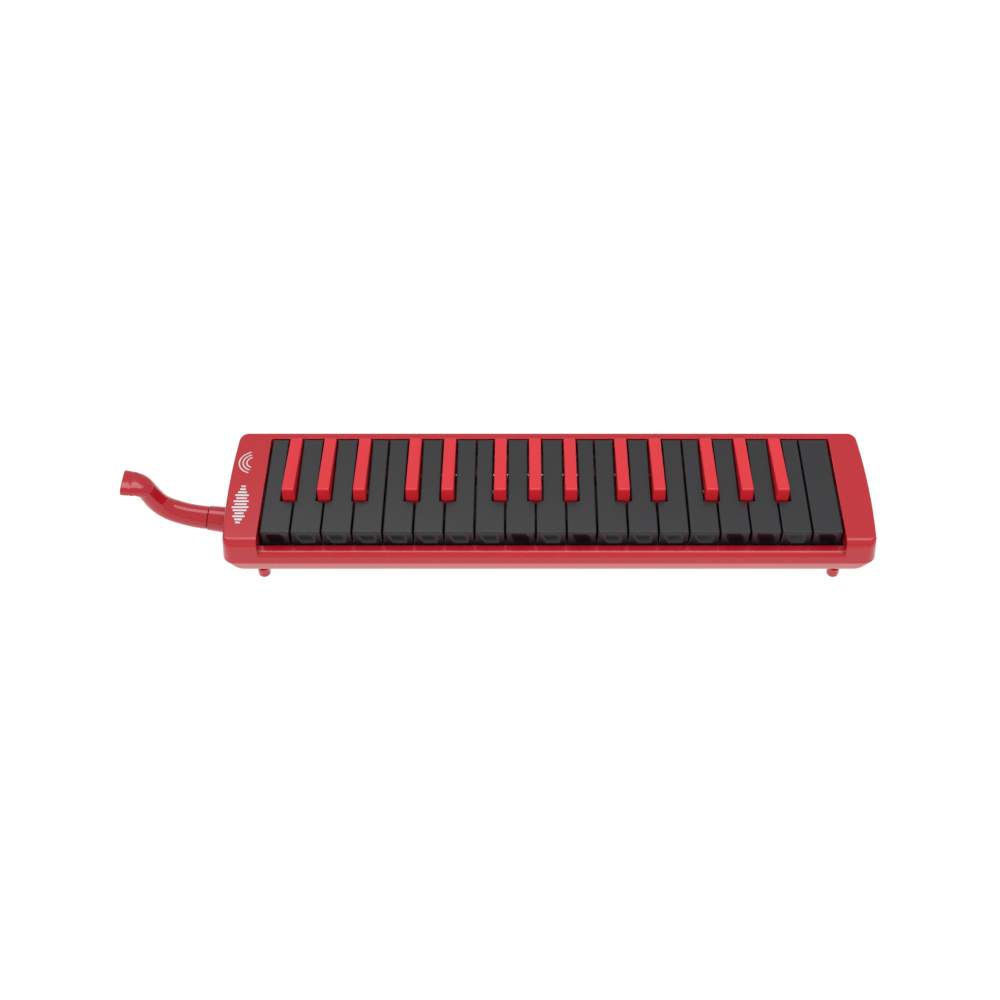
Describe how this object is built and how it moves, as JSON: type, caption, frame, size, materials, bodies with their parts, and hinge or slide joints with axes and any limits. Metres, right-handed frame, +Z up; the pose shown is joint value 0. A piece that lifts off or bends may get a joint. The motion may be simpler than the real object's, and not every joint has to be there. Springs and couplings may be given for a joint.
{
  "type": "melodica",
  "caption": "Mouth-blown keyboard instrument: long plastic case, rocking piano-style keys on one axle, S-bent mouthpiece at the low end, reed chest inside and drain button beneath.",
  "frame": {"origin": "on the standing surface, under the middle of the whole instrument with its mouthpiece", "axes": "+X along the keyboard from the low notes to the high notes, -Y towards the player, +Z up"},
  "size_m": [0.4918, 0.1, 0.0643],
  "materials": {
    "case_plastic": "glossy moulded red",
    "natural_key_plastic": "satin near black",
    "sharp_key_plastic": "satin red",
    "mouthpiece_plastic": "glossy dark red",
    "inner_plastic": "plain moulding",
    "button_plastic": "satin black",
    "rubber": "soft rubber",
    "brass": "rolled brass",
    "steel": "plated steel",
    "felt": "pressed wool felt",
    "strap_fabric": "woven webbing"
  },
  "bodies": {
    "case": {"air_chest": "inner_plastic", "axle_comb": "steel", "bottom_case": "case_plastic", "case_screws": "steel", "chest_gasket": "rubber", "chest_screws": "steel", "comb_screws": "steel", "drain_spring": "steel", "hand_strap": "strap_fabric", "inlet_socket": "inner_plastic", "key_axle": "steel", "key_springs": "steel", "key_stop_felt": "felt", "reed_block": "inner_plastic", "reed_plate_high": "brass", "reed_plate_low": "brass", "reed_rivets": "brass", "reeds": "brass", "strap_plates": "button_plastic", "top_case": "case_plastic"},
    "ferrule": {"mouth_ferrule": "mouthpiece_plastic", "ferrule_seal": "rubber"},
    "mouthpiece": {"mouth_tube": "mouthpiece_plastic"},
    "drain_valve": {"drain_button": "button_plastic", "drain_seal": "rubber"},
    "key_F3": {"key_F3": "natural_key_plastic"},
    "key_F3_sharp": {"key_F3_sharp": "sharp_key_plastic"},
    "key_G3": {"key_G3": "natural_key_plastic"},
    "key_G3_sharp": {"key_G3_sharp": "sharp_key_plastic"},
    "key_A3": {"key_A3": "natural_key_plastic"},
    "key_A3_sharp": {"key_A3_sharp": "sharp_key_plastic"},
    "key_B3": {"key_B3": "natural_key_plastic"},
    "key_C4": {"key_C4": "natural_key_plastic"},
    "key_C4_sharp": {"key_C4_sharp": "sharp_key_plastic"},
    "key_D4": {"key_D4": "natural_key_plastic"},
    "key_D4_sharp": {"key_D4_sharp": "sharp_key_plastic"},
    "key_E4": {"key_E4": "natural_key_plastic"},
    "key_F4": {"key_F4": "natural_key_plastic"},
    "key_F4_sharp": {"key_F4_sharp": "sharp_key_plastic"},
    "key_G4": {"key_G4": "natural_key_plastic"},
    "key_G4_sharp": {"key_G4_sharp": "sharp_key_plastic"},
    "key_A4": {"key_A4": "natural_key_plastic"},
    "key_A4_sharp": {"key_A4_sharp": "sharp_key_plastic"},
    "key_B4": {"key_B4": "natural_key_plastic"},
    "key_C5": {"key_C5": "natural_key_plastic"},
    "key_C5_sharp": {"key_C5_sharp": "sharp_key_plastic"},
    "key_D5": {"key_D5": "natural_key_plastic"},
    "key_D5_sharp": {"key_D5_sharp": "sharp_key_plastic"},
    "key_E5": {"key_E5": "natural_key_plastic"},
    "key_F5": {"key_F5": "natural_key_plastic"},
    "key_F5_sharp": {"key_F5_sharp": "sharp_key_plastic"},
    "key_G5": {"key_G5": "natural_key_plastic"},
    "key_G5_sharp": {"key_G5_sharp": "sharp_key_plastic"},
    "key_A5": {"key_A5": "natural_key_plastic"},
    "key_A5_sharp": {"key_A5_sharp": "sharp_key_plastic"},
    "key_B5": {"key_B5": "natural_key_plastic"},
    "key_C6": {"key_C6": "natural_key_plastic"}
  },
  "joints": [
    {"name": "mouthpiece_pull", "type": "slide", "parent": "case", "child": "ferrule", "axis": [-0.9816, 0, 0.1908], "range_m": [0, 0.018]},
    {"name": "mouthpiece_swivel", "type": "hinge", "parent": "ferrule", "child": "mouthpiece", "pos_m": [-0.18073, -0.0094, 0.02], "axis": [-0.9816, 0, 0.1908], "continuous": true},
    {"name": "drain_press", "type": "slide", "parent": "case", "child": "drain_valve", "axis": [0, 0, 1], "range_m": [0, 0.0022], "stiffness_N_per_m": 200, "springref_m": -0.004, "deforming": ["drain_spring"]},
    {"name": "key_F3_press", "type": "hinge", "parent": "case", "child": "key_F3", "pos_m": [-0.14898, 0.018, 0.034], "axis": [1, 0, 0], "range_deg": [0, 4.45], "stiffness_Nm_per_rad": 0.15, "springref_deg": -8.59, "deforming": ["key_springs"]},
    {"name": "key_F3_sharp_press", "type": "hinge", "parent": "case", "child": "key_F3_sharp", "pos_m": [-0.13853, 0.018, 0.034], "axis": [1, 0, 0], "range_deg": [0, 4.45], "stiffness_Nm_per_rad": 0.15, "springref_deg": -8.59, "deforming": ["key_springs"]},
    {"name": "key_G3_press", "type": "hinge", "parent": "case", "child": "key_G3", "pos_m": [-0.12701, 0.018, 0.034], "axis": [1, 0, 0], "range_deg": [0, 4.45], "stiffness_Nm_per_rad": 0.15, "springref_deg": -8.59, "deforming": ["key_springs"]},
    {"name": "key_G3_sharp_press", "type": "hinge", "parent": "case", "child": "key_G3_sharp", "pos_m": [-0.11548, 0.018, 0.034], "axis": [1, 0, 0], "range_deg": [0, 4.45], "stiffness_Nm_per_rad": 0.15, "springref_deg": -8.59, "deforming": ["key_springs"]},
    {"name": "key_A3_press", "type": "hinge", "parent": "case", "child": "key_A3", "pos_m": [-0.10376, 0.018, 0.034], "axis": [1, 0, 0], "range_deg": [0, 4.45], "stiffness_Nm_per_rad": 0.15, "springref_deg": -8.59, "deforming": ["key_springs"]},
    {"name": "key_A3_sharp_press", "type": "hinge", "parent": "case", "child": "key_A3_sharp", "pos_m": [-0.09203, 0.018, 0.034], "axis": [1, 0, 0], "range_deg": [0, 4.45], "stiffness_Nm_per_rad": 0.15, "springref_deg": -8.59, "deforming": ["key_springs"]},
    {"name": "key_B3_press", "type": "hinge", "parent": "case", "child": "key_B3", "pos_m": [-0.08153, 0.018, 0.034], "axis": [1, 0, 0], "range_deg": [0, 4.45], "stiffness_Nm_per_rad": 0.15, "springref_deg": -8.59, "deforming": ["key_springs"]},
    {"name": "key_C4_press", "type": "hinge", "parent": "case", "child": "key_C4", "pos_m": [-0.06896, 0.018, 0.034], "axis": [1, 0, 0], "range_deg": [0, 4.45], "stiffness_Nm_per_rad": 0.15, "springref_deg": -8.59, "deforming": ["key_springs"]},
    {"name": "key_C4_sharp_press", "type": "hinge", "parent": "case", "child": "key_C4_sharp", "pos_m": [-0.05768, 0.018, 0.034], "axis": [1, 0, 0], "range_deg": [0, 4.45], "stiffness_Nm_per_rad": 0.15, "springref_deg": -8.59, "deforming": ["key_springs"]},
    {"name": "key_D4_press", "type": "hinge", "parent": "case", "child": "key_D4", "pos_m": [-0.04601, 0.018, 0.034], "axis": [1, 0, 0], "range_deg": [0, 4.45], "stiffness_Nm_per_rad": 0.15, "springref_deg": -8.59, "deforming": ["key_springs"]},
    {"name": "key_D4_sharp_press", "type": "hinge", "parent": "case", "child": "key_D4_sharp", "pos_m": [-0.03433, 0.018, 0.034], "axis": [1, 0, 0], "range_deg": [0, 4.45], "stiffness_Nm_per_rad": 0.15, "springref_deg": -8.59, "deforming": ["key_springs"]},
    {"name": "key_E4_press", "type": "hinge", "parent": "case", "child": "key_E4", "pos_m": [-0.02298, 0.018, 0.034], "axis": [1, 0, 0], "range_deg": [0, 4.45], "stiffness_Nm_per_rad": 0.15, "springref_deg": -8.59, "deforming": ["key_springs"]},
    {"name": "key_F4_press", "type": "hinge", "parent": "case", "child": "key_F4", "pos_m": [-0.01038, 0.018, 0.034], "axis": [1, 0, 0], "range_deg": [0, 4.45], "stiffness_Nm_per_rad": 0.15, "springref_deg": -8.59, "deforming": ["key_springs"]},
    {"name": "key_F4_sharp_press", "type": "hinge", "parent": "case", "child": "key_F4_sharp", "pos_m": [0.00007, 0.018, 0.034], "axis": [1, 0, 0], "range_deg": [0, 4.45], "stiffness_Nm_per_rad": 0.15, "springref_deg": -8.59, "deforming": ["key_springs"]},
    {"name": "key_G4_press", "type": "hinge", "parent": "case", "child": "key_G4", "pos_m": [0.01159, 0.018, 0.034], "axis": [1, 0, 0], "range_deg": [0, 4.45], "stiffness_Nm_per_rad": 0.15, "springref_deg": -8.59, "deforming": ["key_springs"]},
    {"name": "key_G4_sharp_press", "type": "hinge", "parent": "case", "child": "key_G4_sharp", "pos_m": [0.02312, 0.018, 0.034], "axis": [1, 0, 0], "range_deg": [0, 4.45], "stiffness_Nm_per_rad": 0.15, "springref_deg": -8.59, "deforming": ["key_springs"]},
    {"name": "key_A4_press", "type": "hinge", "parent": "case", "child": "key_A4", "pos_m": [0.03484, 0.018, 0.034], "axis": [1, 0, 0], "range_deg": [0, 4.45], "stiffness_Nm_per_rad": 0.15, "springref_deg": -8.59, "deforming": ["key_springs"]},
    {"name": "key_A4_sharp_press", "type": "hinge", "parent": "case", "child": "key_A4_sharp", "pos_m": [0.04657, 0.018, 0.034], "axis": [1, 0, 0], "range_deg": [0, 4.45], "stiffness_Nm_per_rad": 0.15, "springref_deg": -8.59, "deforming": ["key_springs"]},
    {"name": "key_B4_press", "type": "hinge", "parent": "case", "child": "key_B4", "pos_m": [0.05707, 0.018, 0.034], "axis": [1, 0, 0], "range_deg": [0, 4.45], "stiffness_Nm_per_rad": 0.15, "springref_deg": -8.59, "deforming": ["key_springs"]},
    {"name": "key_C5_press", "type": "hinge", "parent": "case", "child": "key_C5", "pos_m": [0.06964, 0.018, 0.034], "axis": [1, 0, 0], "range_deg": [0, 4.45], "stiffness_Nm_per_rad": 0.15, "springref_deg": -8.59, "deforming": ["key_springs"]},
    {"name": "key_C5_sharp_press", "type": "hinge", "parent": "case", "child": "key_C5_sharp", "pos_m": [0.08092, 0.018, 0.034], "axis": [1, 0, 0], "range_deg": [0, 4.45], "stiffness_Nm_per_rad": 0.15, "springref_deg": -8.59, "deforming": ["key_springs"]},
    {"name": "key_D5_press", "type": "hinge", "parent": "case", "child": "key_D5", "pos_m": [0.09259, 0.018, 0.034], "axis": [1, 0, 0], "range_deg": [0, 4.45], "stiffness_Nm_per_rad": 0.15, "springref_deg": -8.59, "deforming": ["key_springs"]},
    {"name": "key_D5_sharp_press", "type": "hinge", "parent": "case", "child": "key_D5_sharp", "pos_m": [0.10427, 0.018, 0.034], "axis": [1, 0, 0], "range_deg": [0, 4.45], "stiffness_Nm_per_rad": 0.15, "springref_deg": -8.59, "deforming": ["key_springs"]},
    {"name": "key_E5_press", "type": "hinge", "parent": "case", "child": "key_E5", "pos_m": [0.11562, 0.018, 0.034], "axis": [1, 0, 0], "range_deg": [0, 4.45], "stiffness_Nm_per_rad": 0.15, "springref_deg": -8.59, "deforming": ["key_springs"]},
    {"name": "key_F5_press", "type": "hinge", "parent": "case", "child": "key_F5", "pos_m": [0.12822, 0.018, 0.034], "axis": [1, 0, 0], "range_deg": [0, 4.45], "stiffness_Nm_per_rad": 0.15, "springref_deg": -8.59, "deforming": ["key_springs"]},
    {"name": "key_F5_sharp_press", "type": "hinge", "parent": "case", "child": "key_F5_sharp", "pos_m": [0.13867, 0.018, 0.034], "axis": [1, 0, 0], "range_deg": [0, 4.45], "stiffness_Nm_per_rad": 0.15, "springref_deg": -8.59, "deforming": ["key_springs"]},
    {"name": "key_G5_press", "type": "hinge", "parent": "case", "child": "key_G5", "pos_m": [0.15019, 0.018, 0.034], "axis": [1, 0, 0], "range_deg": [0, 4.45], "stiffness_Nm_per_rad": 0.15, "springref_deg": -8.59, "deforming": ["key_springs"]},
    {"name": "key_G5_sharp_press", "type": "hinge", "parent": "case", "child": "key_G5_sharp", "pos_m": [0.16172, 0.018, 0.034], "axis": [1, 0, 0], "range_deg": [0, 4.45], "stiffness_Nm_per_rad": 0.15, "springref_deg": -8.59, "deforming": ["key_springs"]},
    {"name": "key_A5_press", "type": "hinge", "parent": "case", "child": "key_A5", "pos_m": [0.17344, 0.018, 0.034], "axis": [1, 0, 0], "range_deg": [0, 4.45], "stiffness_Nm_per_rad": 0.15, "springref_deg": -8.59, "deforming": ["key_springs"]},
    {"name": "key_A5_sharp_press", "type": "hinge", "parent": "case", "child": "key_A5_sharp", "pos_m": [0.18517, 0.018, 0.034], "axis": [1, 0, 0], "range_deg": [0, 4.45], "stiffness_Nm_per_rad": 0.15, "springref_deg": -8.59, "deforming": ["key_springs"]},
    {"name": "key_B5_press", "type": "hinge", "parent": "case", "child": "key_B5", "pos_m": [0.19567, 0.018, 0.034], "axis": [1, 0, 0], "range_deg": [0, 4.45], "stiffness_Nm_per_rad": 0.15, "springref_deg": -8.59, "deforming": ["key_springs"]},
    {"name": "key_C6_press", "type": "hinge", "parent": "case", "child": "key_C6", "pos_m": [0.21147, 0.018, 0.034], "axis": [1, 0, 0], "range_deg": [0, 4.45], "stiffness_Nm_per_rad": 0.15, "springref_deg": -8.59, "deforming": ["key_springs"]}
  ]
}
